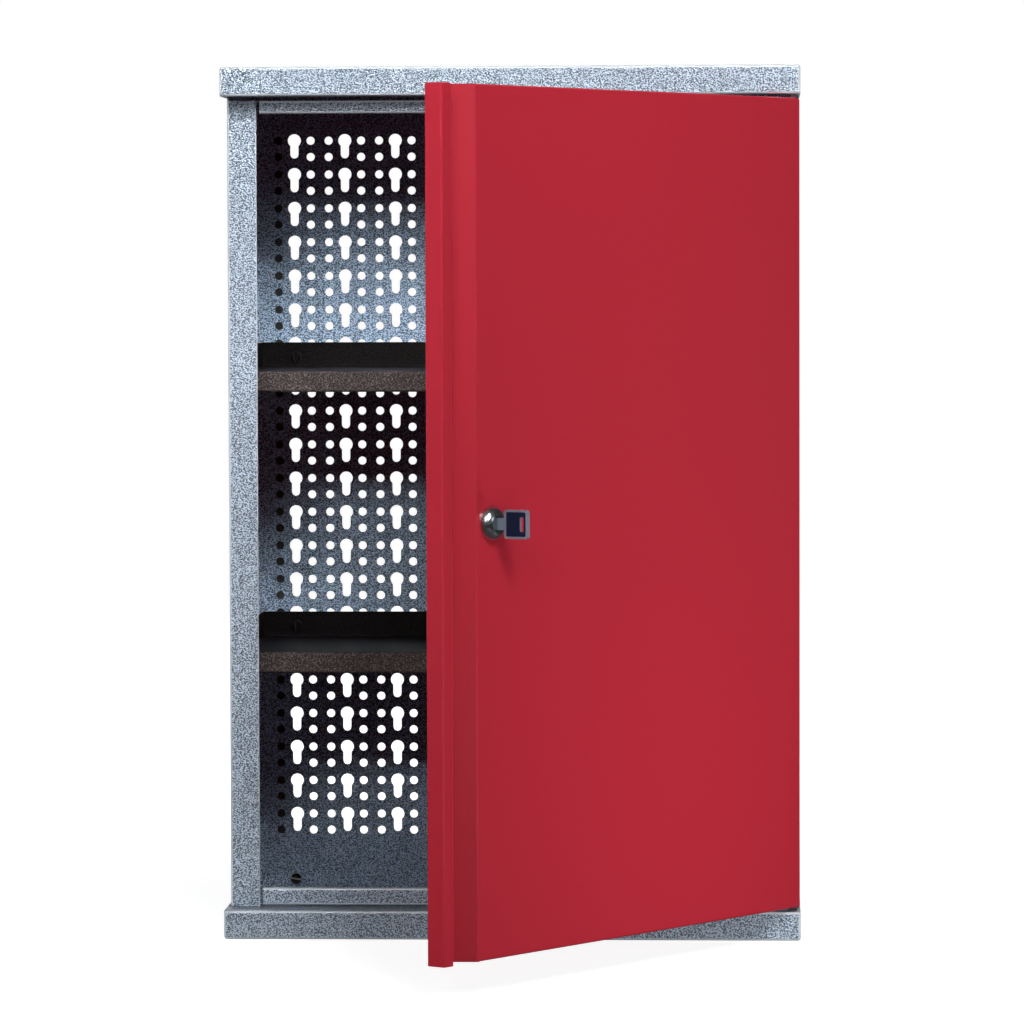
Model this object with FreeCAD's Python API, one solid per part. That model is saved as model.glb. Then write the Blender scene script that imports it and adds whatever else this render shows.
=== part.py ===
import FreeCAD, Part
import math
import os

# Wall tool cabinet in folded sheet steel, with one hinged door, two shelves and a
# keyhole-perforated back. Millimetres. +X is right, +Y is towards the wall and +Z is up.
# The origin is the centre of the underside of the bottom cap.
# Door pieces are drawn closed and then swung open to the rest angle by hang().

V = FreeCAD.Vector
touch = 0.01                   # points closer than this are the same place
cut_margin = 1.0               # how far a cutter runs past the sheet it cuts

# --- whole cabinet ---
cabinet_width = 400.0
cabinet_height = 604.0
cabinet_depth = 200.0

# --- end caps: shallow pans that close the top and the bottom ---
cap_sheet = 1.0
cap_rim = 20.0
cap_corner_radius = 2.0
cap_lip_overlap = 4.0          # how far the front lip reaches behind the plane of the posts

# --- side frames: C-shaped sheet, whose front flange is the post beside the door ---
body_sheet = 1.0
bend_radius = 1.0
side_inset = 3.0               # outer face of a side, from the outer face of the cap
post_width = 20.5
post_hem = 8.0
hem_edge_radius = 0.9
rear_flange_width = 25.0
rear_setback = 6.0             # back face of a side, from the back of the cap
post_top_gap = 2.5
post_bottom_gap = 0.5
side_foot_reach = 39.0         # widened ends of the rear flange, which take the panel screws
side_foot_height = 32.0
end_flange_width = 21.0
end_flange_front = 20.0        # front end of an end flange, behind the posts
end_flange_back = 14.0
notch_clearance = 0.5

# --- front rails between the posts ---
rail_end_gap = 2.2
rail_depth = 26.0
top_rail_face = 9.0
bottom_rail_face = 12.0
bottom_rail_gap = 1.7          # between the bottom cap and the bottom rail
rail_ear_height = 9.0
rail_return = 5.0              # stiffening fold along the free edge of a rail

# --- perforated back panel ---
panel_sheet = 1.0
panel_side_clearance = 0.2     # beside the bend of a side
panel_end_clearance = 0.3
hole_pitch_x = 36.7
hole_pitch_z = 24.5
top_row_drop = 45.9            # first row of keyholes, below the top of the cabinet
bottom_row_margin = 58.0
side_column_margin = 18.0
keyhole_head_radius = 4.8
keyhole_slot_width = 6.0
keyhole_slot_drop = 9.9
keyhole_head_facets = 6
keyhole_slot_facets = 4
wall_hole_radius = 3.0
wall_hole_column = 1           # wall screws sit beside this column, counted from the outside
wall_hole_offset = 11.8
wall_hole_row = 1              # and this row, counted from the top and from the bottom

# --- shelves ---
shelf_sheet = 1.0
shelf_bend_radius = 1.0
shelf_width = 380.0
shelf_lip = 14.6
shelf_hem = 6.0
shelf_flange = 18.0
shelf_front_setback = 8.0      # front of a shelf, behind the plane of the posts
upper_shelf_row = 6
lower_shelf_row = 14
shelf_screw_rise = 7.3
shelf_side_foot = 12.0         # flat part of the blank of a side flange

# --- screws and nuts of the shelves and the panel ---
screw_diameter = 5.0
screw_length = 6.0
screw_head_diameter = 8.6
screw_head_height = 2.6
screw_head_crown = 1.2         # height of the round rim below the tapered crown
screw_head_flat = 5.2
screw_slot_width = 1.2
screw_slot_depth = 1.2
screw_hole_clearance = 0.25
nut_flats = 8.0
nut_height = 4.0
thread_clearance = 0.1
panel_screw_height = 20.5      # above the underside of the cabinet
panel_screw_inset = 30.7       # in from the outer face of a side
shelf_screw_tilts = (90.0, 60.0, 78.0, 100.0)
panel_screw_tilts = (9.0, -24.0, 35.0, 12.0)

# --- rivets that hold the caps to the side frames ---
rivet_diameter = 4.0
rivet_head_diameter = 7.0
rivet_head_flat = 4.6
rivet_head_height = 1.4
rivet_clearance = 0.1
rivet_count = 2
rivet_end_margin = 15.0

# --- door ---
door_sheet = 1.0
door_thickness = 14.0
door_bend_radius = 0.6
door_side_inset = 1.3          # edge of the closed door, from the outer face of the cap
door_front_setback = 3.5       # face of the closed door, behind the front of the cap
door_end_gap = 2.5             # between the door and each cap
door_free_lip = 9.0
rest_angle = 55.0              # how far the door stands open at rest
groove_outer = 9.5             # plain strip between the groove and the free edge
groove_mouth = 25.4
groove_depth = 12.5
groove_slope = 9.0
end_flange_setback = 1.5
buffer_diameter = 5.0
buffer_margin = 0.4            # in from the inner edge of the lip
buffer_clearance = 0.3
buffer_chamfer = 0.7
buffer_inset = 60.0

# --- hinge pins ---
pin_from_edge = 4.0
pin_from_face = 3.8
pin_diameter = 3.5
pin_radial_clearance = 0.06
pin_shoulder_diameter = 6.0
pin_shoulder_clearance = 0.3
pin_tenon_diameter = 4.0
pin_head_diameter = 7.0
pin_head_height = 2.0
pin_head_chamfer = 0.5
pin_tip_chamfer = 0.6
pin_reach = 3.5                # beyond the pivot plate, into the door
swing_clearance = 1.7
pivot_plate_thickness = 2.5
pivot_plate_length = 32.0
pivot_leg_length = 16.0
pivot_leg_height = 7.5
pivot_plate_setback = 0.7      # from the inner faces of the door
stiffener_thickness = 2.0
stiffener_length = 34.0
stiffener_setback = 0.2        # from the round inner corners of the cap
flange_hole_clearance = 0.4

# --- cam lock ---
lock_from_groove = 14.4
collar_base_diameter = 23.0
collar_front_diameter = 14.0
collar_height = 7.0
collar_rim = 1.2
collar_bulge = 0.9             # how far the round of the collar stands out from a plain cone
barrel_diameter = 18.0
barrel_clearance = 0.2
barrel_tail_gap = 0.4
plug_diameter = 11.6
plug_radial_clearance = 0.08
plug_recess = 0.5
washer_thickness = 1.0
washer_diameter = 21.6
lock_nut_flats = 23.0
lock_nut_height = 4.0
drive_square = 6.0
drive_clearance = 0.1
cam_thickness = 2.0
cam_width = 15.0
cam_tip_width = 11.2
cam_tip_radius = 2.8
cam_grip = 10.0                # how far the cam reaches behind the post
cam_clearance = 0.5
cam_washer_diameter = 11.0
cam_washer_thickness = 0.8
cam_screw_head_diameter = 7.6
cam_screw_head_height = 2.4
cam_screw_chamfer = 0.8
cam_screw_diameter = 3.0
cam_screw_length = 6.0

# --- key ---
keyway_width = 2.4
keyway_height = 8.2
key_clearance = 0.2
key_blade_length = 19.0
key_neck = 4.6
key_bow_length = 18.8
key_bow_height = 18.6
key_bow_thickness = 1.6
key_rim_width = 1.5
key_rim_thickness = 2.4
key_bow_radius = 2.0
key_ring_slot_width = 3.0
key_ring_slot_height = 9.6
key_ring_slot_inset = 3.4
key_ring_slot_radius = 1.45
key_cut_pitch = 3.2
key_cut_depths = (1.2, 2.2, 0.8, 1.8)

# --- places worked out from the sizes above ---
cap_inner_radius = cap_corner_radius - cap_sheet / 2
half_width = cabinet_width / 2
half_depth = cabinet_depth / 2
side_x = half_width - side_inset
web_inner_x = side_x - body_sheet
post_inner_x = side_x - post_width
door_face_y = -half_depth + door_front_setback
hinge_edge_x = half_width - door_side_inset
door_width = cabinet_width - 2 * door_side_inset
hinge_x = hinge_edge_x - pin_from_edge
hinge_y = door_face_y + pin_from_face
swing_radius = math.hypot(pin_from_edge, door_thickness - pin_from_face)
post_y = hinge_y + swing_radius + swing_clearance
hem_back_y = post_y + 2 * body_sheet
cap_lip_back_y = post_y + cap_lip_overlap
side_back_y = half_depth - rear_setback
panel_back_y = side_back_y - body_sheet
panel_front_y = panel_back_y - panel_sheet
door_bottom_z = cap_rim + door_end_gap
door_top_z = cabinet_height - cap_rim - door_end_gap
groove_start_u = door_width - groove_outer - groove_mouth
groove_end_u = door_width - groove_outer
lock_x = hinge_edge_x - groove_start_u + lock_from_groove
lock_z = cabinet_height / 2
cam_front_y = hem_back_y + cam_clearance
cam_back_y = cam_front_y + cam_thickness
panel_screw_x = side_x - panel_screw_inset


def box(x0, x1, y0, y1, z0, z1):
    """A block between two values on each axis."""
    return Part.makeBox(x1 - x0, y1 - y0, z1 - z0, V(x0, y0, z0))


def rod(x, y, z, radius, length, direction):
    """A cylinder that starts at a point and runs in a direction."""
    return Part.makeCylinder(radius, length, V(x, y, z), direction)


def mirror_x(shape):
    """The same piece for the other side of the cabinet."""
    return shape.mirror(V(0, 0, 0), V(1, 0, 0))


def mirror_z(shape):
    """The same piece for the other end of the cabinet."""
    return shape.mirror(V(0, 0, cabinet_height / 2), V(0, 0, 1))


def hang(shape):
    """Swings a door piece from closed to its rest angle about the hinge pins."""
    swung = shape.copy()
    swung.rotate(V(hinge_x, hinge_y, 0), V(0, 0, 1), rest_angle)
    return swung


def save(name, shapes):
    """Writes one node; a list becomes one file of separate solids."""
    shape = Part.makeCompound(shapes) if isinstance(shapes, list) else shapes
    shape.exportStep("parts/" + name + ".step")


def bend(before, corner, after, thickness, inside_radius):
    """Start, middle and end of the two arcs of one bend, for the drawn and the far side."""
    first = (corner - before).normalize()
    second = (after - corner).normalize()
    turn = first.x * second.y - first.y * second.x
    side = 1.0 if turn > 0 else -1.0
    radius = inside_radius + thickness if turn > 0 else inside_radius
    half_turn = math.acos(max(-1.0, min(1.0, first.dot(second)))) / 2
    reach = radius * math.tan(half_turn)
    normal = V(-first.y, first.x, 0) * side
    start = corner - first * reach
    centre = start + normal * radius
    outward = (corner - centre).normalize()
    end = corner + second * reach
    drawn = (start, centre + outward * radius, end)
    far_radius = radius - side * thickness
    far = tuple(centre + (point - centre).normalize() * far_radius for point in drawn)
    return drawn, far


def folded(points, thickness, inside_radius, place):
    """A strip of sheet seen on edge: the metal lies left of the drawn line of points.

    place turns the two coordinates of the drawing into a point of the cabinet.
    """
    line = [V(a, b, 0) for a, b in points]
    across = (line[1] - line[0]).normalize()
    near_side = [line[0]]
    far_side = [line[0] + V(-across.y, across.x, 0) * thickness]
    arcs = []
    for before, corner, after in zip(line, line[1:], line[2:]):
        drawn, far = bend(before, corner, after, thickness, inside_radius)
        arcs.append((drawn, far))
    across = (line[-1] - line[-2]).normalize()
    near_end = line[-1]
    far_end = near_end + V(-across.y, across.x, 0) * thickness
    edges = []
    here = near_side[0]
    for drawn, _ in arcs:
        edges.append(straight(here, drawn[0], place))
        edges.append(curved(drawn, place))
        here = drawn[2]
    edges.append(straight(here, near_end, place))
    edges.append(straight(near_end, far_end, place))
    here = far_end
    for _, far in reversed(arcs):
        edges.append(straight(here, far[2], place))
        edges.append(curved(tuple(reversed(far)), place))
        here = far[0]
    edges.append(straight(here, far_side[0], place))
    edges.append(straight(far_side[0], near_side[0], place))
    return Part.Face(Part.Wire(edges))


def straight(start, end, place):
    return Part.makeLine(place(start.x, start.y), place(end.x, end.y))


def curved(points, place):
    placed = [place(point.x, point.y) for point in points]
    return Part.Arc(*placed).toShape()


def plan(z):
    """Drawings seen from above, at a height."""
    return lambda x, y: V(x, y, z)


def section(x):
    """Drawings seen from the side: Y and Z at one X."""
    return lambda y, z: V(x, y, z)


def elevation(y):
    """Drawings seen from the front: X and Z at one Y."""
    return lambda x, z: V(x, y, z)


def door_plan(z):
    """Door drawings: distance from the hinge edge and depth behind the face."""
    return lambda u, n: V(hinge_edge_x - u, door_face_y + n, z)


def hexagon(x, y, z, flats, height, bore, flat_to_side):
    """A hexagonal nut whose bore runs along +Y."""
    corner = flats / math.sqrt(3)
    first = 0.5 if flat_to_side else 0.0
    points = []
    for step in range(7):
        angle = math.radians(60) * (step + first)
        points.append(V(x + corner * math.cos(angle), y, z + corner * math.sin(angle)))
    body = Part.Face(Part.makePolygon(points)).extrude(V(0, height, 0))
    return body.cut(rod(x, y, z, bore / 2, height, V(0, 1, 0)))


def slotted_screw(x, y, z, tilt):
    """A slotted pan-head screw, driven along +Y, whose head seats at y."""
    head_radius = screw_head_diameter / 2
    seat = rod(0, 0, 0, head_radius, screw_head_crown, V(0, -1, 0))
    crown = Part.makeCone(head_radius, screw_head_flat / 2, screw_head_height - screw_head_crown,
                          V(0, -screw_head_crown, 0), V(0, -1, 0))
    head = seat.fuse(crown)
    slot = box(-head_radius, head_radius, -screw_head_height, screw_slot_depth - screw_head_height,
               -screw_slot_width / 2, screw_slot_width / 2)
    slot.rotate(V(0, 0, 0), V(0, 1, 0), tilt)
    shank = rod(0, 0, 0, screw_diameter / 2, screw_length, V(0, 1, 0))
    screw = head.cut(slot).fuse(shank)
    screw.translate(V(x, y, z))
    return screw.removeSplitter()


def rivet_places():
    """Points of the rivets in one end flange, front to back, on the right side."""
    x = web_inner_x - end_flange_width / 2
    front = post_y + end_flange_front + rivet_end_margin
    back = panel_front_y - end_flange_back - rivet_end_margin
    step = (back - front) / (rivet_count - 1)
    return [(x, front + step * index) for index in range(rivet_count)]


# --- caps ---

def make_bottom_cap():
    """A pan with a front lip folded back over the door's end, which carries the hinge pin."""
    outer = box(-half_width, half_width, -half_depth, half_depth, 0, cap_rim)
    rounded = []
    for edge in outer.Edges:
        centre = edge.CenterOfMass
        vertical = abs(centre.z - cap_rim / 2) < touch
        at_floor = centre.z < touch
        front_top = centre.z > cap_rim - touch and centre.y < -half_depth + touch
        if vertical or at_floor or front_top:
            rounded.append(edge)
    outer = outer.makeFillet(cap_corner_radius, rounded)
    inner = box(-half_width + cap_sheet, half_width - cap_sheet, -half_depth + cap_sheet,
                half_depth - cap_sheet, cap_sheet, cap_rim - cap_sheet)
    hollow = []
    for edge in inner.Edges:
        if edge.CenterOfMass.z < cap_rim - cap_sheet - touch:
            hollow.append(edge)
    inner = inner.makeFillet(cap_inner_radius, hollow)
    mouth = box(-half_width + cap_sheet, half_width - cap_sheet, cap_lip_back_y,
                half_depth - cap_sheet, cap_rim / 2, cap_rim + cut_margin)
    cap = outer.cut(inner).cut(mouth)
    pin_hole = rod(hinge_x, hinge_y, 0, pin_tenon_diameter / 2 + rivet_clearance, cap_rim, V(0, 0, 1))
    pin_hole = pin_hole.common(box(0, half_width, -half_depth, 0, cap_rim / 2, cap_rim))
    cap = cap.cut(pin_hole)
    for x, y in rivet_places():
        for side in (1, -1):
            hole = rod(side * x, y, 0, rivet_diameter / 2 + rivet_clearance, cap_sheet, V(0, 0, 1))
            cap = cap.cut(hole)
    return cap


def make_pivot_stiffener():
    """A plate welded inside the cap's lip, which holds the hinge pin square."""
    setback = cap_sheet + cap_inner_radius + stiffener_setback
    x1 = half_width - setback
    y0 = -half_depth + setback
    z1 = cap_rim - cap_sheet
    plate = box(x1 - stiffener_length, x1, y0, cap_lip_back_y, z1 - stiffener_thickness, z1)
    hole = rod(hinge_x, hinge_y, 0, pin_tenon_diameter / 2 + rivet_clearance, cap_rim, V(0, 0, 1))
    return plate.cut(hole)


def make_hinge_pin():
    """The lower hinge pin: riveted head, tenon, shoulder and the shank that the door turns on."""
    z = cap_rim - cap_sheet - stiffener_thickness - pin_head_height
    up = V(0, 0, 1)
    head = rod(hinge_x, hinge_y, z, pin_head_diameter / 2, pin_head_height, up)
    rim = min(head.Edges, key=lambda edge: edge.CenterOfMass.z)
    head = head.makeChamfer(pin_head_chamfer, [rim])
    z += pin_head_height
    tenon_length = cap_sheet + stiffener_thickness
    tenon = rod(hinge_x, hinge_y, z, pin_tenon_diameter / 2, tenon_length, up)
    z += tenon_length
    shoulder_length = door_end_gap - pin_shoulder_clearance
    shoulder = rod(hinge_x, hinge_y, z, pin_shoulder_diameter / 2, shoulder_length, up)
    z += shoulder_length
    shank_length = pin_shoulder_clearance + door_sheet + pivot_plate_thickness + pin_reach
    shank = rod(hinge_x, hinge_y, z, pin_diameter / 2, shank_length, up)
    tip = max(shank.Edges, key=lambda edge: edge.CenterOfMass.z)
    shank = shank.makeChamfer(pin_tip_chamfer, [tip])
    return head.fuse([tenon, shoulder, shank])


def make_cap_rivets():
    """Rivets set flush with the underside, with their formed heads inside."""
    rivets = []
    for x, y in rivet_places():
        for side in (1, -1):
            shank = rod(side * x, y, 0, rivet_diameter / 2, cap_sheet + body_sheet, V(0, 0, 1))
            seat = V(side * x, y, cap_sheet + body_sheet)
            head = Part.makeCone(rivet_head_diameter / 2, rivet_head_flat / 2,
                                 rivet_head_height, seat)
            rivets.append(shank.fuse(head))
    return rivets


# --- body ---

def make_right_side():
    """Side frame: post with a flat hem, side wall, rear flange and two end flanges."""
    outline = [(post_inner_x + body_sheet, post_y), (side_x, post_y), (side_x, side_back_y),
               (side_x - rear_flange_width, side_back_y)]
    low = cap_sheet
    high = cabinet_height - cap_sheet
    frame = folded(outline, body_sheet, bend_radius, plan(low)).extrude(V(0, 0, high - low))
    hem = box(post_inner_x, post_inner_x + post_hem, post_y, hem_back_y, low, high)
    round_edges = []
    for edge in hem.Edges:
        centre = edge.CenterOfMass
        if abs(centre.z - (low + high) / 2) < touch and abs(centre.x - post_inner_x) < touch:
            round_edges.append(edge)
    hem = hem.makeFillet(hem_edge_radius, round_edges)
    frame = frame.fuse(hem)
    foot_low = low + body_sheet
    for z0 in (foot_low, cabinet_height - foot_low - side_foot_height):
        foot = box(side_x - side_foot_reach, side_x - rear_flange_width + cut_margin, panel_back_y,
                   side_back_y, z0, z0 + side_foot_height)
        frame = frame.fuse(foot)
    notch_back = cap_lip_back_y + notch_clearance
    post_low = cap_rim + post_bottom_gap
    post_high = cabinet_height - cap_rim - post_top_gap
    for z0, z1 in ((0, post_low), (post_high, cabinet_height)):
        frame = frame.cut(box(0, half_width, -half_depth, notch_back, z0, z1))
    ledge = [(side_x, low + 2 * (body_sheet + bend_radius)), (side_x, low),
             (web_inner_x - end_flange_width, low)]
    ledge_y = post_y + end_flange_front
    ledge_length = panel_front_y - end_flange_back - ledge_y
    path = list(reversed(ledge))
    ledge_shape = folded(path, body_sheet, bend_radius, elevation(ledge_y))
    ledge_solid = ledge_shape.extrude(V(0, ledge_length, 0))
    for x, y in rivet_places():
        hole = rod(x, y, 0, rivet_diameter / 2 + rivet_clearance, cap_rim, V(0, 0, 1))
        ledge_solid = ledge_solid.cut(hole)
    for end in (ledge_solid, mirror_z(ledge_solid)):
        bounds = end.BoundBox
        corner = box(web_inner_x - cut_margin, half_width, ledge_y, ledge_y + ledge_length,
                     bounds.ZMin, bounds.ZMax)
        frame = frame.cut(corner).fuse(end)
    hole_radius = screw_diameter / 2 + screw_hole_clearance
    for z in (panel_screw_height, cabinet_height - panel_screw_height):
        frame = frame.cut(rod(panel_screw_x, panel_back_y - cut_margin, z, hole_radius,
                              body_sheet + 2 * cut_margin, V(0, 1, 0)))
    return frame.removeSplitter()


def make_rail(face_height):
    """A front rail drawn at the bottom: a face between a ledge and a return, and two ears."""
    z0 = cap_rim + bottom_rail_gap
    face_x = post_inner_x - rail_end_gap
    outline = [(post_y + rail_depth, z0), (post_y, z0), (post_y, z0 + face_height),
               (post_y + rail_return, z0 + face_height)]
    path = list(reversed(outline))
    rail = folded(path, body_sheet, bend_radius, section(-face_x)).extrude(V(2 * face_x, 0, 0))
    ledge_front = hem_back_y + notch_clearance
    ledge_back = post_y + rail_depth
    arm = box(-web_inner_x, web_inner_x, ledge_front, ledge_back, z0, z0 + body_sheet)
    rail = rail.fuse(arm)
    for side in (1, -1):
        inner = side * (web_inner_x - body_sheet)
        outer = side * web_inner_x
        ear = box(min(inner, outer), max(inner, outer), ledge_front, ledge_back, z0,
                  z0 + rail_ear_height)
        rail = rail.fuse(ear)
    return rail.removeSplitter()


def make_top_rail():
    """The top rail is the same section turned over, level with the tops of the posts."""
    rail = mirror_z(make_rail(top_rail_face))
    rail.translate(V(0, 0, bottom_rail_gap - post_top_gap))
    return rail


def panel_half_width():
    """The panel lies flat on the rear flanges, just clear of their bends."""
    return web_inner_x - bend_radius - panel_side_clearance


def column_places():
    """X of each column of keyholes, left to right."""
    width = 2 * panel_half_width()
    count = int((width - 2 * side_column_margin) // hole_pitch_x) + 1
    return [(index - (count - 1) / 2) * hole_pitch_x for index in range(count)]


def row_places():
    """Z of the head of each keyhole, top to bottom."""
    first = cabinet_height - top_row_drop
    count = int((first - bottom_row_margin) // hole_pitch_z) + 1
    return [first - index * hole_pitch_z for index in range(count)]


def keyhole_outline(x, z):
    """A keyhole with a round head above a narrower slot, as a closed wire."""
    slot_radius = keyhole_slot_width / 2
    gap = math.asin(slot_radius / keyhole_head_radius)
    points = []
    sweep = 2 * (math.pi - gap)
    for step in range(keyhole_head_facets + 1):
        angle = -math.pi / 2 + gap + sweep * step / keyhole_head_facets
        points.append(V(x + keyhole_head_radius * math.cos(angle), panel_front_y,
                        z + keyhole_head_radius * math.sin(angle)))
    for step in range(keyhole_slot_facets + 1):
        angle = math.pi + math.pi * step / keyhole_slot_facets
        points.append(V(x + slot_radius * math.cos(angle), panel_front_y,
                        z - keyhole_slot_drop + slot_radius * math.sin(angle)))
    points.append(points[0])
    return Part.makePolygon(points)


def wall_hole_places():
    """The four round holes for wall screws, symmetric about the middle."""
    columns = column_places()
    rows = row_places()
    x = columns[-1 - wall_hole_column] - wall_hole_offset
    top = rows[wall_hole_row]
    bottom = rows[-1 - wall_hole_row]
    return [(side * x, z) for z in (top, bottom) for side in (-1, 1)]


def make_back_panel():
    """One flat sheet: every keyhole is an inner outline of the same face."""
    half = panel_half_width()
    low = cap_sheet + panel_end_clearance
    high = cabinet_height - low
    corners = [V(-half, panel_front_y, low), V(half, panel_front_y, low),
               V(half, panel_front_y, high), V(-half, panel_front_y, high),
               V(-half, panel_front_y, low)]
    outlines = [Part.makePolygon(corners)]
    for x in column_places():
        for z in row_places():
            outlines.append(keyhole_outline(x, z))
    sheet = Part.Face(outlines, "Part::FaceMakerBullseye")
    panel = sheet.extrude(V(0, panel_sheet, 0))
    holes = [(x, z, wall_hole_radius) for x, z in wall_hole_places()]
    screw_radius = screw_diameter / 2 + screw_hole_clearance
    for side in (-1, 1):
        for z in (panel_screw_height, cabinet_height - panel_screw_height):
            holes.append((side * panel_screw_x, z, screw_radius))
    length = panel_sheet + 2 * cut_margin
    cutters = [rod(x, panel_front_y - cut_margin, z, radius, length, V(0, 1, 0))
               for x, z, radius in holes]
    return panel.cut(cutters)


def shelf_screw_z(row):
    """Shelf screws rest at the bottom of the slots of one row of keyholes."""
    return row_places()[row] - keyhole_slot_drop


def make_shelf(row):
    """Pressed tray: lip and hem at the front, upturned flanges at the back and the sides."""
    top = shelf_screw_z(row) - shelf_screw_rise
    under = top - shelf_sheet
    front = post_y + shelf_front_setback
    back = panel_front_y
    half = shelf_width / 2
    outline = [(front + shelf_hem, top - shelf_lip), (front, top - shelf_lip), (front, top),
               (back - shelf_flange / 2, top)]
    path = list(reversed(outline))
    nose = folded(path, shelf_sheet, shelf_bend_radius, section(-half)).extrude(V(2 * half, 0, 0))
    rear = [(front + shelf_hem, under), (back, under), (back, top + shelf_flange)]
    heel = folded(rear, shelf_sheet, shelf_bend_radius, section(-half)).extrude(V(2 * half, 0, 0))
    shelf = nose.fuse(heel)
    side_back = back - shelf_sheet - shelf_bend_radius - notch_clearance
    side_front = front + shelf_sheet + shelf_bend_radius + notch_clearance
    for side in (1, -1):
        edge = [(side * (half - shelf_side_foot), under), (side * half, under),
                (side * half, top + shelf_flange)]
        path = edge if side > 0 else list(reversed(edge))
        wing = folded(path, shelf_sheet, shelf_bend_radius, elevation(side_front))
        blank = side * (half - 2 * (shelf_sheet + shelf_bend_radius))
        corner = box(min(side * half, blank), max(side * half, blank), side_front, side_back,
                     under - cut_margin, top + shelf_flange)
        shelf = shelf.cut(corner).fuse(wing.extrude(V(0, side_back - side_front, 0)))
    hole_radius = screw_diameter / 2 + screw_hole_clearance
    for x in shelf_screw_columns():
        shelf = shelf.cut(rod(x, back - shelf_sheet - cut_margin, shelf_screw_z(row), hole_radius,
                              shelf_sheet + 2 * cut_margin, V(0, 1, 0)))
    return shelf.removeSplitter()


def shelf_screw_columns():
    columns = column_places()
    return [columns[0], columns[-1]]


def make_shelf_screws():
    screws = []
    nuts = []
    bore = screw_diameter + 2 * thread_clearance
    places = [(x, shelf_screw_z(row)) for row in (lower_shelf_row, upper_shelf_row)
              for x in shelf_screw_columns()]
    for (x, z), tilt in zip(places, shelf_screw_tilts):
        screws.append(slotted_screw(x, panel_front_y - shelf_sheet, z, tilt))
        nuts.append(hexagon(x, panel_back_y, z, nut_flats, nut_height, bore, False))
    return screws, nuts


def make_panel_screws():
    screws = []
    nuts = []
    bore = screw_diameter + 2 * thread_clearance
    heights = (panel_screw_height, cabinet_height - panel_screw_height)
    places = [(side * panel_screw_x, z) for z in heights for side in (-1, 1)]
    for (x, z), tilt in zip(places, panel_screw_tilts):
        screws.append(slotted_screw(x, panel_front_y, z, tilt))
        nuts.append(hexagon(x, side_back_y, z, nut_flats, nut_height, bore, True))
    return screws, nuts


# --- door ---

def make_door_panel():
    """One sheet: hinge edge, face, finger groove, outer strip, free edge and its inner lip."""
    height = door_top_z - door_bottom_z
    slope_end = groove_start_u + groove_slope
    outline = [(0, door_thickness), (0, 0), (groove_start_u, 0), (slope_end, groove_depth),
               (groove_end_u - groove_slope, groove_depth), (groove_end_u, 0), (door_width, 0),
               (door_width, door_thickness), (door_width - door_free_lip, door_thickness)]
    face = folded(outline, door_sheet, door_bend_radius, door_plan(door_bottom_z))
    panel = face.extrude(V(0, 0, height))
    flange_end = groove_start_u - end_flange_setback
    turn = door_sheet + door_bend_radius
    x0 = hinge_edge_x - flange_end
    x1 = hinge_edge_x - door_sheet - door_bend_radius
    back_y = door_face_y + door_thickness
    edge = [(back_y, door_bottom_z), (door_face_y, door_bottom_z),
            (door_face_y, door_bottom_z + 2 * turn)]
    path = list(reversed(edge))
    flange = folded(path, door_sheet, door_bend_radius, section(x0)).extrude(V(x1 - x0, 0, 0))
    for piece in (flange, mirror_z(flange)):
        bounds = piece.BoundBox
        blank_low = bounds.ZMin
        blank_high = bounds.ZMax
        corner = box(x0, hinge_edge_x, door_face_y, back_y, blank_low, blank_high)
        panel = panel.cut(corner).fuse(piece)
    hinge_return = folded([(0, door_thickness), (0, 0), (2 * turn, 0)], door_sheet, door_bend_radius,
                          door_plan(door_bottom_z + turn))
    panel = panel.fuse(hinge_return.extrude(V(0, 0, height - 2 * turn)))
    pin_hole = rod(hinge_x, hinge_y, door_bottom_z - cut_margin,
                   pin_diameter / 2 + flange_hole_clearance, height + 2 * cut_margin, V(0, 0, 1))
    panel = panel.cut(pin_hole)
    barrel_hole = rod(lock_x, door_face_y - cut_margin, lock_z,
                      barrel_diameter / 2 + barrel_clearance, door_sheet + 2 * cut_margin, V(0, 1, 0))
    return panel.cut(barrel_hole).removeSplitter()


def make_pivot_plate():
    """The plate inside the lower hinge corner of the door, bored for the pin."""
    inner = door_sheet + pivot_plate_setback
    x1 = hinge_edge_x - inner
    y0 = door_face_y + inner
    y1 = door_face_y + door_thickness - pivot_plate_setback
    z0 = door_bottom_z + door_sheet
    x0 = x1 - pivot_plate_length
    plate = box(x0, x1, y0, y1, z0, z0 + pivot_plate_thickness)
    leg = box(x0, x0 + pivot_leg_length, y0, y0 + pivot_plate_thickness, z0, z0 + pivot_leg_height)
    bore = rod(hinge_x, hinge_y, z0 - cut_margin, pin_diameter / 2 + pin_radial_clearance,
               pivot_plate_thickness + 2 * cut_margin, V(0, 0, 1))
    return plate.fuse(leg).cut(bore).removeSplitter()


def make_door_buffers():
    """Two rubber buttons on the inner lip, which meet the post when the door shuts."""
    gap = post_y - (door_face_y + door_thickness)
    thickness = gap - buffer_clearance
    x = hinge_edge_x - door_width + door_free_lip - buffer_margin - buffer_diameter / 2
    buffers = []
    for z in (door_bottom_z + buffer_inset, door_top_z - buffer_inset):
        button = rod(x, door_face_y + door_thickness, z, buffer_diameter / 2, thickness, V(0, 1, 0))
        rim = max(button.Edges, key=lambda edge: edge.CenterOfMass.y)
        buffers.append(button.makeChamfer(buffer_chamfer, [rim]))
    return buffers


# --- lock ---

def lock_rod(depth, radius, length):
    """A cylinder on the lock's axis, from a depth behind the door's face."""
    return rod(lock_x, door_face_y + depth, lock_z, radius, length, V(0, 1, 0))


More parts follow.
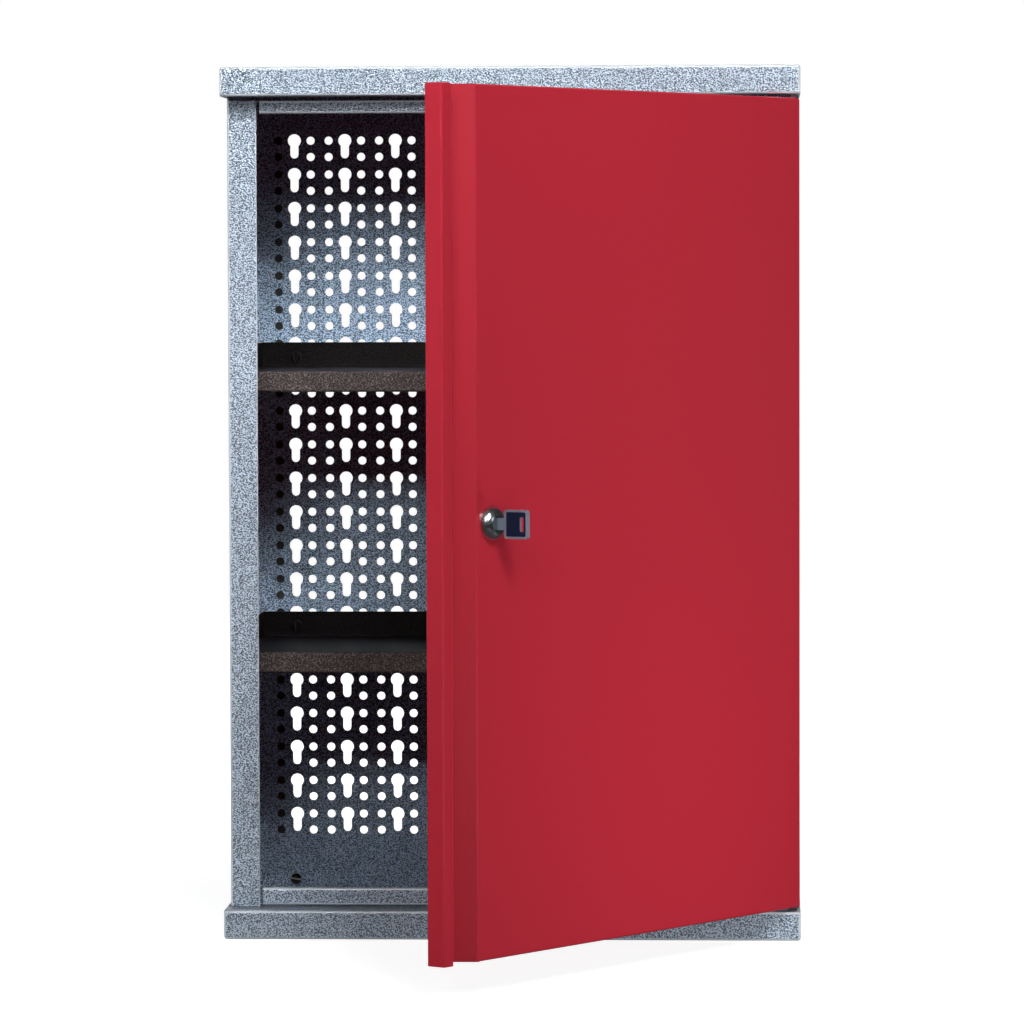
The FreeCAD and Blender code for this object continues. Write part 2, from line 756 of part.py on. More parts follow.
def make_lock_housing():
    """Conical collar, flange and round barrel, bored for the plug."""
    base = collar_base_diameter / 2
    front = collar_front_diameter / 2
    barrel = barrel_diameter / 2
    back = cam_front_y - door_face_y - barrel_tail_gap
    tip = V(front, -collar_height, 0)
    foot = V(base, -collar_rim, 0)
    across = (foot - tip).normalize()
    crown = (tip + foot) * 0.5 + V(across.y, -across.x, 0) * collar_bulge
    flank = Part.Arc(tip, crown, foot).toShape()
    profile = Part.makePolygon([foot, V(base, 0, 0), V(barrel, 0, 0), V(barrel, back, 0),
                                V(0, back, 0), V(0, -collar_height, 0), tip])
    outline = Part.Wire([flank] + profile.Edges)
    body = Part.Face(outline).revolve(V(0, 0, 0), V(0, 1, 0), 360)
    bore = rod(0, -collar_height, 0, plug_diameter / 2 + plug_radial_clearance,
               collar_height + back, V(0, 1, 0))
    body = body.cut(bore)
    body.translate(V(lock_x, door_face_y, lock_z))
    return body


def make_lock_washer():
    disc = lock_rod(door_sheet, washer_diameter / 2, washer_thickness)
    return disc.cut(lock_rod(door_sheet, barrel_diameter / 2 + barrel_clearance, washer_thickness))


def make_lock_nut():
    y = door_face_y + door_sheet + washer_thickness
    bore = barrel_diameter + 2 * barrel_clearance
    return hexagon(lock_x, y, lock_z, lock_nut_flats, lock_nut_height, bore, True)


def make_lock_plug():
    """The plug turns in the housing; a square tail drives the cam."""
    front = plug_recess - collar_height
    shoulder = cam_front_y - door_face_y
    plug = lock_rod(front, plug_diameter / 2, shoulder - front)
    half = drive_square / 2
    tail = box(lock_x - half, lock_x + half, cam_front_y, cam_back_y, lock_z - half, lock_z + half)
    keyway_end = door_face_y - collar_height + key_blade_length + key_clearance
    keyway = box(lock_x - keyway_width / 2, lock_x + keyway_width / 2, door_face_y - collar_height,
                 keyway_end, lock_z - keyway_height / 2, lock_z + keyway_height / 2)
    screw_hole = rod(lock_x, cam_back_y - cam_screw_length, lock_z,
                     cam_screw_diameter / 2 + thread_clearance, cam_screw_length, V(0, 1, 0))
    return plug.fuse(tail).cut(keyway).cut(screw_hole).removeSplitter()


def make_lock_cam():
    """A flat tongue that hangs down unlocked and turns behind the post to lock."""
    reach = lock_x + post_inner_x + cam_grip
    half = cam_width / 2
    hub = rod(lock_x, cam_front_y, lock_z, half, cam_thickness, V(0, 1, 0))
    tip_half = cam_tip_width / 2
    corners = [V(lock_x - half, cam_front_y, lock_z), V(lock_x + half, cam_front_y, lock_z),
               V(lock_x + tip_half, cam_front_y, lock_z - reach),
               V(lock_x - tip_half, cam_front_y, lock_z - reach)]
    corners.append(corners[0])
    tongue = Part.Face(Part.makePolygon(corners)).extrude(V(0, cam_thickness, 0))
    tip_edges = []
    for edge in tongue.Edges:
        centre = edge.CenterOfMass
        if abs(centre.y - cam_front_y - cam_thickness / 2) < touch and centre.z < lock_z - reach + touch:
            tip_edges.append(edge)
    tongue = tongue.makeFillet(cam_tip_radius, tip_edges)
    hole_half = drive_square / 2 + drive_clearance
    hole = box(lock_x - hole_half, lock_x + hole_half, cam_front_y, cam_back_y,
               lock_z - hole_half, lock_z + hole_half)
    return hub.fuse(tongue).cut(hole).removeSplitter()


def make_cam_screw():
    """A pan-head screw and its washer, which hold the cam on the plug's tail."""
    washer = rod(lock_x, cam_back_y, lock_z, cam_washer_diameter / 2, cam_washer_thickness, V(0, 1, 0))
    bore = cam_screw_diameter / 2 + thread_clearance
    washer = washer.cut(rod(lock_x, cam_back_y, lock_z, bore, cam_washer_thickness, V(0, 1, 0)))
    head_y = cam_back_y + cam_washer_thickness
    head = rod(lock_x, head_y, lock_z, cam_screw_head_diameter / 2, cam_screw_head_height, V(0, 1, 0))
    rim = max(head.Edges, key=lambda edge: edge.CenterOfMass.y)
    head = head.makeChamfer(cam_screw_chamfer, [rim])
    slot = box(lock_x - cam_screw_head_diameter / 2, lock_x + cam_screw_head_diameter / 2,
               head_y + cam_screw_head_height / 2, head_y + cam_screw_head_height,
               lock_z - screw_slot_width / 2, lock_z + screw_slot_width / 2)
    shank_start = cam_back_y - cam_screw_length + thread_clearance
    shank = rod(lock_x, shank_start, lock_z, cam_screw_diameter / 2, head_y - shank_start, V(0, 1, 0))
    return head.cut(slot).fuse(shank), washer


# --- key ---

def make_key():
    """Flat key: blade with cuts, neck, and a bow with a raised rim and a slot for a ring."""
    face = door_face_y - collar_height
    blade_half = keyway_width / 2 - key_clearance
    blade_high = keyway_height / 2 - key_clearance
    neck_front = face - key_neck
    blade = box(lock_x - blade_half, lock_x + blade_half, neck_front, face + key_blade_length,
                lock_z - blade_high, lock_z + blade_high)
    for index, depth in enumerate(key_cut_depths):
        y = face + key_blade_length - key_cut_pitch * (index + 1)
        z = lock_z - blade_high
        points = [V(lock_x - blade_half, y - depth, z), V(lock_x - blade_half, y + depth, z),
                  V(lock_x - blade_half, y, z + depth), V(lock_x - blade_half, y - depth, z)]
        blade = blade.cut(Part.Face(Part.makePolygon(points)).extrude(V(2 * blade_half, 0, 0)))
    bow_front = neck_front - key_bow_length
    half = key_bow_height / 2
    bow = rounded_plate(bow_front, neck_front, half, key_bow_radius, key_bow_thickness)
    rim = rounded_plate(bow_front, neck_front, half, key_bow_radius, key_rim_thickness)
    well = rounded_plate(bow_front + key_rim_width, neck_front - key_rim_width,
                         half - key_rim_width, key_bow_radius / 2, key_rim_thickness)
    slot_y = bow_front + key_ring_slot_inset
    slot = box(lock_x - key_rim_thickness, lock_x + key_rim_thickness, slot_y,
               slot_y + key_ring_slot_width, lock_z - key_ring_slot_height / 2,
               lock_z + key_ring_slot_height / 2)
    ends = [edge for edge in slot.Edges if abs(edge.CenterOfMass.x - lock_x) < touch]
    slot = slot.makeFillet(key_ring_slot_radius, ends)
    return blade.fuse([bow, rim.cut(well)]).cut(slot).removeSplitter()


def rounded_plate(y0, y1, half_height, radius, thickness):
    """A plate in the plane of the key, with four round corners."""
    plate = box(lock_x - thickness / 2, lock_x + thickness / 2, y0, y1,
                lock_z - half_height, lock_z + half_height)
    corners = [edge for edge in plate.Edges if abs(edge.CenterOfMass.x - lock_x) < touch]
    return plate.makeFillet(radius, corners)


def main():
    os.makedirs("parts", exist_ok=True)
    bottom_cap = make_bottom_cap()
    save("bottom_cap", bottom_cap)
    save("top_cap", mirror_z(bottom_cap))
    stiffener = make_pivot_stiffener()
    save("bottom_pivot_stiffener", stiffener)
    save("top_pivot_stiffener", mirror_z(stiffener))
    pin = make_hinge_pin()
    save("bottom_hinge_pin", pin)
    save("top_hinge_pin", mirror_z(pin))
    rivets = make_cap_rivets()
    save("bottom_cap_rivets", rivets)
    save("top_cap_rivets", [mirror_z(rivet) for rivet in rivets])
    right_side = make_right_side()
    save("right_side", right_side)
    save("left_side", mirror_x(right_side))
    save("bottom_rail", make_rail(bottom_rail_face))
    save("top_rail", make_top_rail())
    save("back_panel", make_back_panel())
    save("upper_shelf", make_shelf(upper_shelf_row))
    save("lower_shelf", make_shelf(lower_shelf_row))
    shelf_screws, shelf_nuts = make_shelf_screws()
    save("shelf_screws", shelf_screws)
    save("shelf_nuts", shelf_nuts)
    panel_screws, panel_nuts = make_panel_screws()
    save("panel_screws", panel_screws)
    save("panel_nuts", panel_nuts)
    save("door_panel", hang(make_door_panel()))
    plate = make_pivot_plate()
    save("bottom_pivot_plate", hang(plate))
    save("top_pivot_plate", hang(mirror_z(plate)))
    save("door_buffers", [hang(button) for button in make_door_buffers()])
    save("lock_housing", hang(make_lock_housing()))
    save("lock_washer", hang(make_lock_washer()))
    save("lock_nut", hang(make_lock_nut()))
    save("lock_plug", hang(make_lock_plug()))
    save("lock_cam", hang(make_lock_cam()))
    cam_screw, cam_washer = make_cam_screw()
    save("cam_screw", hang(cam_screw))
    save("cam_washer", hang(cam_washer))
    save("key", hang(make_key()))


main()
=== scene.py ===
"""Looks of a wall tool cabinet in folded sheet steel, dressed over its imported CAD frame."""
import math

import bpy
from mathutils import Matrix, Vector


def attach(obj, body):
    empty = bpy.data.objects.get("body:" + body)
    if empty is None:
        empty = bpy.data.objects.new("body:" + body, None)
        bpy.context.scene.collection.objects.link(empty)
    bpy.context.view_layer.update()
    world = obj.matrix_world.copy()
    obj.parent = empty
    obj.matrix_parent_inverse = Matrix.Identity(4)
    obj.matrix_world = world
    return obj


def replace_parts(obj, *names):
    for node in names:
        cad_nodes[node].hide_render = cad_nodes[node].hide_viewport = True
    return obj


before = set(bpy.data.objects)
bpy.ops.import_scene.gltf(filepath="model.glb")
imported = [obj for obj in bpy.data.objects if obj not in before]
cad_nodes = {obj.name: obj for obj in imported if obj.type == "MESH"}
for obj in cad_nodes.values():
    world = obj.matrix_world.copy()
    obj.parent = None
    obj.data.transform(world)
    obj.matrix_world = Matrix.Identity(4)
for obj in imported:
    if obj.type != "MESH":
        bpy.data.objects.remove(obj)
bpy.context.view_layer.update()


# ---------------------------------------------------------------------------
# Camera. A long lens, a little above the middle of the cabinet, turned slightly to
# the left, so that the open door is seen almost flat on.
# ---------------------------------------------------------------------------
camera_place = Vector((0.16984, -3.72081, 0.46002))
camera_turn = math.radians(2.6672)
camera_dip = math.radians(2.5768)
camera_roll = math.radians(-0.1699)
camera_lens = 184.82
camera_sensor = 36.0

forward = Vector((-math.sin(camera_turn) * math.cos(camera_dip),
                  math.cos(camera_turn) * math.cos(camera_dip),
                  -math.sin(camera_dip)))
level = Vector((math.cos(camera_turn), math.sin(camera_turn), 0))
upright = level.cross(forward)
camera_right = level * math.cos(camera_roll) + upright * math.sin(camera_roll)
camera_up = upright * math.cos(camera_roll) - level * math.sin(camera_roll)

camera_data = bpy.data.cameras.new("camera")
camera_data.lens = camera_lens
camera_data.sensor_width = camera_sensor
camera = bpy.data.objects.new("camera", camera_data)
bpy.context.scene.collection.objects.link(camera)
camera.matrix_world = (Matrix.Translation(camera_place)
                       @ Matrix((camera_right, camera_up, -forward)).transposed().to_4x4())
bpy.context.scene.camera = camera


# ---------------------------------------------------------------------------
# Studio. A pale floor that keeps the cabinet's shadow, a white backdrop, and nine soft
# boxes. Three far and narrow ones light the top most, one is near the camera, one is
# for the lock's chrome to mirror, and four are fills that metal doesn't mirror.
# ---------------------------------------------------------------------------
floor_size = 14.0
floor_white = 0.50             # as the lamps light it, seen directly
floor_bounce = 0.10            # as it throws light back up
floor_glow = 0.84
floor_near = 0.30              # from here out the floor turns into the white backdrop
floor_far = 0.75
floor_mirrored_near = 1.4      # and from this far behind, where metal mirrors it
floor_mirrored_far = 2.8
top_aim = (-0.05, 0.0, 0.60)
middle_aim = (0.0, -0.1, 0.33)
foot_aim = (0.08, -0.25, 0.12)
lock_aim = (-0.01, -0.40, 0.33)
narrow = math.radians(24)
wide = math.radians(180)
soft_boxes = (                 # name, place, aim, width and height, spread, power, mirrored
    ("high_lamp", (0.827, -2.698, 2.817), top_aim, (0.90, 0.60), narrow, 2.10, True),
    ("middle_lamp", (0.913, -2.965, 2.400), top_aim, (0.90, 0.60), narrow, 1.44, True),
    ("left_lamp", (-0.515, -3.306, 1.949), top_aim, (0.90, 0.60), narrow, 0.84, True),
    ("front_lamp", (0.087, -1.660, 1.271), middle_aim, (0.76, 0.45), wide, 3.50, True),
    ("left_fill", (-2.639, -1.603, 0.561), middle_aim, (0.80, 0.60), wide, 43.4, False),
    ("low_fill", (0.300, -0.900, 0.100), foot_aim, (0.50, 0.16), wide, 1.25, False),
    ("foot_fill", (0.470, -0.400, 0.035), foot_aim, (0.16, 0.08), wide, 1.10, False),
    ("lock_lamp", (1.890, -1.560, 1.020), lock_aim, (0.52, 0.52), wide, 1.50, True),
    ("back_fill", (-1.400, 2.600, 1.500), middle_aim, (1.20, 1.20), wide, 22.0, False))
room_light = 0.008
room_dark = 0.03
backdrop_from = 0.80           # how far behind a glossy ray has to run to meet the backdrop
backdrop_to = 0.97

scene = bpy.context.scene
scene.view_settings.view_transform = "Standard"

for name, place, aim, size, spread, power, is_mirrored in soft_boxes:
    lamp_data = bpy.data.lights.new(name, "AREA")
    lamp_data.shape = "RECTANGLE"
    lamp_data.size, lamp_data.size_y = size
    lamp_data.spread = spread
    lamp_data.energy = power
    lamp = bpy.data.objects.new(name, lamp_data)
    facing = (Vector(aim) - Vector(place)).to_track_quat("-Z", "Y").to_matrix().to_4x4()
    lamp.matrix_world = Matrix.Translation(place) @ facing
    lamp.visible_glossy = is_mirrored
    scene.collection.objects.link(lamp)


def fill_in(tree, socket, value):
    """Links an output to a socket, or sets the socket to a plain value."""
    if hasattr(value, "is_linked"):
        tree.links.new(value, socket)
    else:
        socket.default_value = value


def coordinate(tree, kind):
    """One kind of texture coordinates."""
    return tree.nodes.new("ShaderNodeTexCoord").outputs[kind]


def part_of(tree, vector, axis):
    """The X, Y or Z of a vector."""
    node = tree.nodes.new("ShaderNodeSeparateXYZ")
    tree.links.new(vector, node.inputs[0])
    return node.outputs[axis]


def maths(tree, operation, *values):
    """One Math node."""
    node = tree.nodes.new("ShaderNodeMath")
    node.operation = operation
    for socket, value in zip(node.inputs, values):
        fill_in(tree, socket, value)
    return node.outputs[0]


def ramped(tree, value, low, high, start=0.0, end=1.0, form="SMOOTHSTEP"):
    """A step from one level to another while a value runs from low to high."""
    node = tree.nodes.new("ShaderNodeMapRange")
    node.interpolation_type = form
    for label, setting in (("Value", value), ("From Min", low), ("From Max", high),
                           ("To Min", start), ("To Max", end)):
        fill_in(tree, node.inputs[label], setting)
    return node.outputs[0]


def switched(tree, factor, off, on):
    """One value where the factor is 0 and another where it is 1."""
    node = tree.nodes.new("ShaderNodeMix")
    node.data_type = "FLOAT"
    for label, setting in (("Factor", factor), ("A", off), ("B", on)):
        fill_in(tree, node.inputs[label], setting)
    return node.outputs["Result"]


def ray_kinds(tree):
    """1 for camera rays, and 1 for the rays by which metal and glass show a backdrop."""
    path = tree.nodes.new("ShaderNodeLightPath")
    mirrored = maths(tree, "MAXIMUM", path.outputs["Is Glossy Ray"],
                     path.outputs["Is Transmission Ray"])
    return path.outputs["Is Camera Ray"], mirrored


world = bpy.data.worlds.new("studio")
scene.world = world
world.use_nodes = True
sky = world.node_tree
sky.nodes.clear()
seen, mirrored = ray_kinds(sky)
behind = ramped(sky, part_of(sky, coordinate(sky, "Generated"), "Y"), backdrop_from,
                backdrop_to, room_dark, 1.0, "LINEAR")
glow = sky.nodes.new("ShaderNodeBackground")
glow.inputs["Color"].default_value = (1, 1, 1, 1)
sky.links.new(switched(sky, seen, switched(sky, mirrored, room_light, behind), 1.0),
              glow.inputs["Strength"])
sky.links.new(glow.outputs[0], sky.nodes.new("ShaderNodeOutputWorld").inputs["Surface"])

floor_mesh = bpy.data.meshes.new("floor")
half_floor = floor_size / 2
floor_mesh.from_pydata([(-half_floor, -half_floor, 0), (half_floor, -half_floor, 0),
                        (half_floor, half_floor, 0), (-half_floor, half_floor, 0)],
                       [], [(0, 1, 2, 3)])
floor = bpy.data.objects.new("floor", floor_mesh)
scene.collection.objects.link(floor)
floor_paint = bpy.data.materials.new("pale_floor")
floor_paint.use_nodes = True
ground = floor_paint.node_tree
ground.nodes.clear()
seen, mirrored = ray_kinds(ground)
ground_place = coordinate(ground, "Object")
ground_reach = ground.nodes.new("ShaderNodeVectorMath")
ground_reach.operation = "LENGTH"
ground.links.new(ground_place, ground_reach.inputs[0])
fade = ramped(ground, ground_reach.outputs["Value"], floor_near, floor_far, floor_glow)
behind = ramped(ground, part_of(ground, ground_place, "Y"), floor_mirrored_near,
                floor_mirrored_far, form="LINEAR")
matt = ground.nodes.new("ShaderNodeBsdfDiffuse")
ground.links.new(switched(ground, seen, floor_bounce, floor_white), matt.inputs["Color"])
shine = ground.nodes.new("ShaderNodeEmission")
ground.links.new(switched(ground, seen, switched(ground, mirrored, 0.0, behind), fade),
                 shine.inputs["Strength"])
both = ground.nodes.new("ShaderNodeAddShader")
ground.links.new(matt.outputs[0], both.inputs[0])
ground.links.new(shine.outputs[0], both.inputs[1])
ground.links.new(both.outputs[0],
                 ground.nodes.new("ShaderNodeOutputMaterial").inputs["Surface"])
floor_mesh.materials.append(floor_paint)


# ---------------------------------------------------------------------------
# Caps, side frames and rails. Folded steel in blue-grey hammer paint, which dries in
# fine wrinkles, their valleys painted darker as painted shade, and lies thin, smooth and
# shiny over every bend, where it is painted paler as a painted highlight. The rear flanges'
# faces behind the panel get painted shade, near black. The shapes come from the CAD nodes.
# ---------------------------------------------------------------------------
hammer_colour = (0.515, 0.612, 0.725)
# painted shade: the wrinkles' valleys are painted much darker, standing for the shade that
# falls in them
hammer_wrinkle_shade = (0.105, 0.137, 0.172)
# painted highlight: bends are painted paler, standing for the light their rounds catch
hammer_bend_highlight = (0.70, 0.77, 0.84)
hammer_wrinkles = 920.0
# real wrinkles lie alike both ways; the squeeze makes them, and the shade painted in their
# valleys, look lit from above
hammer_squeeze = (1.0, 1.0, 1.4)    # wrinkles lie a little closer down the sheet than across
hammer_turn = (0.5, 0.3, 0.7)
hammer_relief = 0.00090
hammer_roughness = 0.34
hammer_metal = 0.25
valley_until = 0.39             # heights of the wrinkles, from 0 to 1
crest_from = 0.59
bend_roughness = 0.18
bend_from = 0.12                # second largest part of the normal on a bend
bend_to = 0.45
# painted shade: the rear flanges' faces behind the panel are painted near black, as they lie
# in shade seen through the panel's holes
behind_panel_shade = (0.010, 0.010, 0.012)
behind_panel_shade_from = 0.0925
behind_panel_shade_to = 0.0935
behind_panel_shade_facing = -0.5


def paint_base(name):
    """A material with a Principled shader; gives its node tree and the shader."""
    material = bpy.data.materials.new(name)
    material.use_nodes = True
    tree = material.node_tree
    shader = next(node for node in tree.nodes if node.type == "BSDF_PRINCIPLED")
    return material, tree, shader


def shader_group(name, inputs, outputs):
    """A shader node group with float inputs, their defaults, and named outputs."""
    group = bpy.data.node_groups.new(name, "ShaderNodeTree")
    for label, value in inputs:
        socket = group.interface.new_socket(label, in_out="INPUT",
                                            socket_type="NodeSocketFloat")
        socket.default_value = value
    for label in outputs:
        group.interface.new_socket(label, in_out="OUTPUT", socket_type="NodeSocketFloat")
    return group, group.nodes.new("NodeGroupInput"), group.nodes.new("NodeGroupOutput")


def group_node(tree, group):
    """One node that stands for a group."""
    node = tree.nodes.new("ShaderNodeGroup")
    node.node_tree = group
    return node


def between(tree, factor, first, second):
    """A value between two values."""
    return maths(tree, "MULTIPLY_ADD", factor, second - first, first)


def inside(tree, value, low, high):
    """1 where a value lies between two others."""
    return maths(tree, "MULTIPLY", maths(tree, "GREATER_THAN", value, low),
                 maths(tree, "LESS_THAN", value, high))


def noise(tree, place, scale, detail):
    """One Noise texture; gives its value."""
    node = tree.nodes.new("ShaderNodeTexNoise")
    tree.links.new(place, node.inputs["Vector"])
    fill_in(tree, node.inputs["Scale"], scale)
    node.inputs["Detail"].default_value = detail
    return node.outputs["Fac"]


def blended(tree, factor, first, second):
    """A colour between two colours."""
    node = tree.nodes.new("ShaderNodeMix")
    node.data_type = "RGBA"
    fill_in(tree, node.inputs["Factor"], factor)
    for socket, colour in ((node.inputs["A"], first), (node.inputs["B"], second)):
        fill_in(tree, socket, (*colour, 1) if isinstance(colour, tuple) else colour)
    return node.outputs["Result"]


def raised(tree, shader, height, relief):
    """A Bump node that feeds the shader's normal."""
    bump = tree.nodes.new("ShaderNodeBump")
    bump.inputs["Distance"].default_value = relief
    tree.links.new(height, bump.inputs["Height"])
    tree.links.new(bump.outputs[0], shader.inputs["Normal"])
    return bump


def hammer_wrinkles_group():
    """Hammer paint's wrinkles: their height, and a mask, 0 in the valleys where shade is
    painted.
    """
    group, entry, leave = shader_group("hammer_wrinkles",
                                       (("Wrinkles per metre", hammer_wrinkles),),
                                       ("Height", "Crest"))
    place = group.nodes.new("ShaderNodeMapping")
    place.inputs["Scale"].default_value = hammer_squeeze
    place.inputs["Rotation"].default_value = hammer_turn
    group.links.new(coordinate(group, "Object"), place.inputs["Vector"])
    swell = noise(group, place.outputs[0], entry.outputs["Wrinkles per metre"], 0.0)
    group.links.new(swell, leave.inputs["Height"])
    group.links.new(ramped(group, swell, valley_until, crest_from), leave.inputs["Crest"])
    return group


def bend_mask_group():
    """1 on the round of a bend or corner, where two parts of the normal are large."""
    group, entry, leave = shader_group("bend_mask", (("From", bend_from), ("To", bend_to)),
                                       ("Bend",))
    normal = coordinate(group, "Normal")
    x, y, z = (maths(group, "ABSOLUTE", part_of(group, normal, axis)) for axis in "XYZ")
    second = maths(group, "MAXIMUM", maths(group, "MINIMUM", x, y),
                   maths(group, "MAXIMUM", maths(group, "MINIMUM", y, z),
                         maths(group, "MINIMUM", x, z)))
    bend = ramped(group, second, entry.outputs["From"], entry.outputs["To"])
    group.links.new(bend, leave.inputs["Bend"])
    return group


def behind_panel_shade_mask_group():
    """1 on faces that look to the front between two depths, where shade is painted behind the
    panel.
    """
    group, entry, leave = shader_group("painted_shade_mask", (("From", behind_panel_shade_from), ("To", behind_panel_shade_to)),
                                       ("Shade",))
    depth = part_of(group, coordinate(group, "Object"), "Y")
    facing = part_of(group, coordinate(group, "Normal"), "Y")
    shade_behind_panel = maths(group, "MULTIPLY",
                 inside(group, depth, entry.outputs["From"], entry.outputs["To"]),
                 maths(group, "LESS_THAN", facing, behind_panel_shade_facing))
    group.links.new(shade_behind_panel, leave.inputs["Shade"])
    return group


hammer_group = hammer_wrinkles_group()
bend_group = bend_mask_group()
behind_panel_shade_nodes = behind_panel_shade_mask_group()


def hammered_paint(name, colour, wrinkle_shade, relief):
    """Hammer paint, with painted shade in the wrinkles and behind the panel, shiny on bends,
    painted paler there as a highlight.
    """
    material, tree, shader = paint_base(name)
    wrinkles = group_node(tree, hammer_group)
    bend = group_node(tree, bend_group).outputs["Bend"]
    # painted shade in the valleys, a painted highlight on bends, and painted shade behind the
    # panel
    body = blended(tree, wrinkles.outputs["Crest"], wrinkle_shade, colour)
    body = blended(tree, bend, body, hammer_bend_highlight)
    body = blended(tree, group_node(tree, behind_panel_shade_nodes).outputs["Shade"], body, behind_panel_shade)
    tree.links.new(body, shader.inputs["Base Color"])
    bump = raised(tree, shader, wrinkles.outputs["Height"], relief)
    tree.links.new(maths(tree, "SUBTRACT", 1.0, bend), bump.inputs["Strength"])
    tree.links.new(between(tree, bend, hammer_roughness, bend_roughness),
                   shader.inputs["Roughness"])
    shader.inputs["Metallic"].default_value = hammer_metal
    return material


def dress(names, material):
    """Gives CAD nodes a material."""
    for name in names:
        cad_nodes[name].material_slots[0].material = material


hammer_paint = hammered_paint("hammer_paint_finish", hammer_colour, hammer_wrinkle_shade,
                              hammer_relief)
dress(("bottom_cap", "top_cap", "left_side", "right_side", "bottom_rail", "top_rail",
       "bottom_pivot_stiffener", "top_pivot_stiffener"), hammer_paint)


# ---------------------------------------------------------------------------
# Back panel. One flat sheet in the same hammer paint, a little bluer, punched with
# columns of keyholes and with small round holes beside them. The sheet is filled
# between outlines by nodes.
# ---------------------------------------------------------------------------
panel_half_width = 0.1948
panel_low = 0.0013
panel_high = 0.6027
panel_sheet = 0.001
panel_back = 0.093
hole_pitch_x = 0.0367
hole_pitch_z = 0.0245
hole_columns = 10
hole_rows = 21
hole_top_row = 0.5581
keyhole_head = 0.0048
keyhole_slot = 0.0030
keyhole_drop = 0.0099
head_segments = 14
slot_segments = 6
small_hole = 0.0030
small_offset = 0.0118
round_segments = 16
panel_screw_hole = 0.00275
panel_screw_x = 0.1663
panel_screw_rise = 0.0205
weld_distance = 1e-6
panel_colour = (0.480, 0.650, 0.850)
# painted shade: the panel's wrinkle valleys are painted much darker, standing for the shade
# that falls in them
panel_wrinkle_shade = (0.090, 0.132, 0.185)
panel_relief = 0.00090


def arc(radius, start, sweep, segments, drop=0.0):
    """Points along an arc, its centre a drop below zero."""
    angles = [start + sweep * step / segments for step in range(segments + 1)]
    return [(radius * math.cos(angle), radius * math.sin(angle) - drop, 0)
            for angle in angles]


def keyhole_outline():
    """A mesh of edges round one keyhole, the centre of its head at zero."""
    gap = math.asin(keyhole_slot / keyhole_head)
    points = arc(keyhole_head, gap - math.pi / 2, 2 * (math.pi - gap), head_segments)
    points += arc(keyhole_slot, math.pi, math.pi, slot_segments, keyhole_drop)
    mesh = bpy.data.meshes.new("keyhole_outline")
    mesh.from_pydata(points, [(i, (i + 1) % len(points)) for i in range(len(points))], [])
    return mesh


def add_node(tree, kind, inputs):
    """One node with some of its inputs filled in; gives its first output."""
    node = tree.nodes.new(kind)
    for label, value in inputs.items():
        fill_in(tree, node.inputs[label], value)
    return node.outputs[0]


def joined(tree, parts):
    """Several pieces of geometry as one."""
    node = tree.nodes.new("GeometryNodeJoinGeometry")
    for part in parts:
        tree.links.new(part, node.inputs[0])
    return node.outputs[0]


